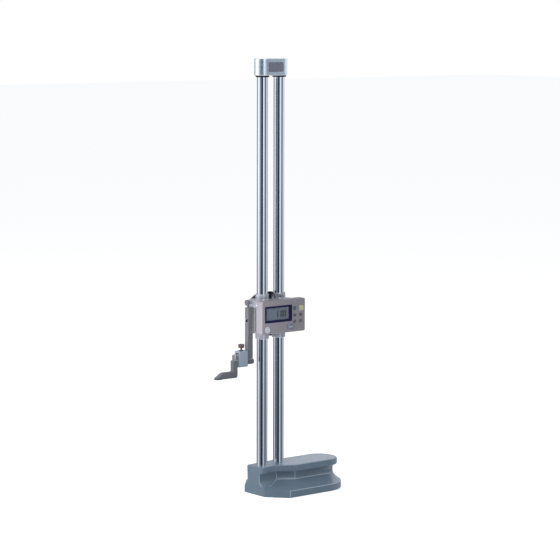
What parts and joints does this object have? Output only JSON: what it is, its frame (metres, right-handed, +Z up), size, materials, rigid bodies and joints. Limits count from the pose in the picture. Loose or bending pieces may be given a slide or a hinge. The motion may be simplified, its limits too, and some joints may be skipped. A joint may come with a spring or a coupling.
{
  "type": "height gauge",
  "caption": "Twin-column digital height gauge: iron base with grip slab, ground columns tied by a cap, and a rack-driven slider with display, jaw and clamped scriber.",
  "frame": {"origin": "on the base's lapped underside, midway between the two column axes", "axes": "+Z up along the columns, -X towards the scriber, -Y towards the display's side"},
  "size_m": [0.2695, 0.129, 0.786],
  "materials": {
    "enamel": "smooth blue-grey enamel",
    "column_chrome": "ground and chromed",
    "satin_alloy": "satin plated",
    "panel": "fine satin warm grey",
    "steel": "ground steel",
    "light_steel": "bluish ground steel",
    "dark_steel": "oiled dark steel",
    "brown_steel": "browned, fluted",
    "carbide": "ground carbide",
    "brass": "turned",
    "black_plastic": "matt black",
    "rubber": "black",
    "felt": "dark wiper",
    "navy_frame": "navy",
    "window": "clear",
    "lcd": "grey-green display",
    "board": "green laminate",
    "key_green": "green key",
    "key_yellow": "yellow key",
    "key_dark": "dark key",
    "key_grey": "grey key",
    "cap_metal": "bright turned",
    "cell": "button cell"
  },
  "bodies": {
    "root": {"base_casting": "enamel", "main_column": "column_chrome", "sub_column": "column_chrome", "rack_strip": "steel", "rack_screws": "steel", "scale_strip": "steel", "column_bolts": "steel", "column_washers": "steel", "top_cap": "satin_alloy", "cap_screws": "steel", "bump_rings": "rubber"},
    "slider": {"slider_block": "satin_alloy", "column_bushes": "brass", "wiper_rings": "felt", "gib_screw": "dark_steel", "front_shaft_bush": "brass", "rear_shaft_bush": "brass", "encoder_head": "black_plastic", "clamp_shoe": "brass", "lock_plug": "brass", "lower_stop": "rubber", "display_case": "panel", "display_back": "panel", "case_screws": "steel", "display_screws": "steel", "lcd_bezel": "navy_frame", "lcd_window": "window", "lcd_panel": "lcd", "circuit_board": "board", "key_mat": "rubber", "battery": "cell", "data_socket": "black_plastic", "jaw": "satin_alloy", "jaw_screw": "dark_steel", "jaw_dowels": "steel", "clamp_box": "light_steel", "clamp_pad": "brass", "clamp_washer": "steel"},
    "wheel": {"pinion": "steel", "pinion_shaft": "steel", "handwheel": "black_plastic", "wheel_screw": "dark_steel", "crank_pin": "steel"},
    "crank": {"finger_knob": "black_plastic"},
    "clamp": {"clamp_knob": "black_plastic", "clamp_spindle": "steel"},
    "lock": {"lock_screw": "dark_steel"},
    "thumb": {"clamp_thumbscrew": "brown_steel"},
    "scriber": {"scriber": "dark_steel", "carbide_tip": "carbide"},
    "battery_cap": {"battery_cap": "cap_metal"},
    "data_cap": {"data_cap": "cap_metal"},
    "key_power": {"key_power": "key_green"},
    "key_mode": {"key_mode": "key_dark"},
    "key_hold": {"key_hold": "key_grey"},
    "key_zero": {"key_zero": "key_yellow"},
    "key_preset": {"key_preset": "key_dark"},
    "key_data": {"key_data": "key_grey"}
  },
  "joints": [
    {"name": "slider_travel", "type": "slide", "parent": "root", "child": "slider", "axis": [0, 0, 1], "range_m": [-0.2185, 0.3877]},
    {"name": "wheel_turn", "type": "hinge", "parent": "slider", "child": "wheel", "pos_m": [-0.0025, 0, 0.3327], "axis": [0, -1, 0], "range_deg": [-1480, 2620]},
    {"name": "crank_spin", "type": "hinge", "parent": "wheel", "child": "crank", "pos_m": [0.014, 0.035, 0.3327], "axis": [0, 1, 0], "continuous": true},
    {"name": "clamp_turn", "type": "hinge", "parent": "slider", "child": "clamp", "pos_m": [0, 0, 0.3555], "axis": [0, 0, 1], "range_deg": [-180, 180]},
    {"name": "lock_turn", "type": "hinge", "parent": "slider", "child": "lock", "pos_m": [-0.0438, 0, 0.3515], "axis": [1, 0, 0], "range_deg": [-180, 180]},
    {"name": "thumb_turn", "type": "hinge", "parent": "slider", "child": "thumb", "pos_m": [-0.0666, 0, 0.265], "axis": [0, 0, 1], "range_deg": [-360, 360]},
    {"name": "scriber_slide", "type": "slide", "parent": "slider", "child": "scriber", "axis": [1, 0, 0], "range_m": [-0.014, 0.0018]},
    {"name": "battery_cap_turn", "type": "hinge", "parent": "slider", "child": "battery_cap", "pos_m": [0.0205, -0.031, 0.3057], "axis": [0, 1, 0], "range_deg": [0, 360]},
    {"name": "data_cap_turn", "type": "hinge", "parent": "slider", "child": "data_cap", "pos_m": [-0.0312, -0.031, 0.3037], "axis": [0, 1, 0], "range_deg": [0, 360]},
    {"name": "key_power_press", "type": "slide", "parent": "slider", "child": "key_power", "axis": [0, 1, 0], "range_m": [0, 0.0008], "stiffness_N_per_m": 500, "springref_m": -0.0006},
    {"name": "key_mode_press", "type": "slide", "parent": "slider", "child": "key_mode", "axis": [0, 1, 0], "range_m": [0, 0.0008], "stiffness_N_per_m": 500, "springref_m": -0.0006},
    {"name": "key_hold_press", "type": "slide", "parent": "slider", "child": "key_hold", "axis": [0, 1, 0], "range_m": [0, 0.0008], "stiffness_N_per_m": 500, "springref_m": -0.0006},
    {"name": "key_zero_press", "type": "slide", "parent": "slider", "child": "key_zero", "axis": [0, 1, 0], "range_m": [0, 0.0008], "stiffness_N_per_m": 500, "springref_m": -0.0006},
    {"name": "key_preset_press", "type": "slide", "parent": "slider", "child": "key_preset", "axis": [0, 1, 0], "range_m": [0, 0.0008], "stiffness_N_per_m": 500, "springref_m": -0.0006},
    {"name": "key_data_press", "type": "slide", "parent": "slider", "child": "key_data", "axis": [0, 1, 0], "range_m": [0, 0.0008], "stiffness_N_per_m": 500, "springref_m": -0.0006}
  ],
  "couplings": [
    {"joint": "wheel_turn", "follows": "slider_travel", "rad_per_m": 117.65}
  ]
}
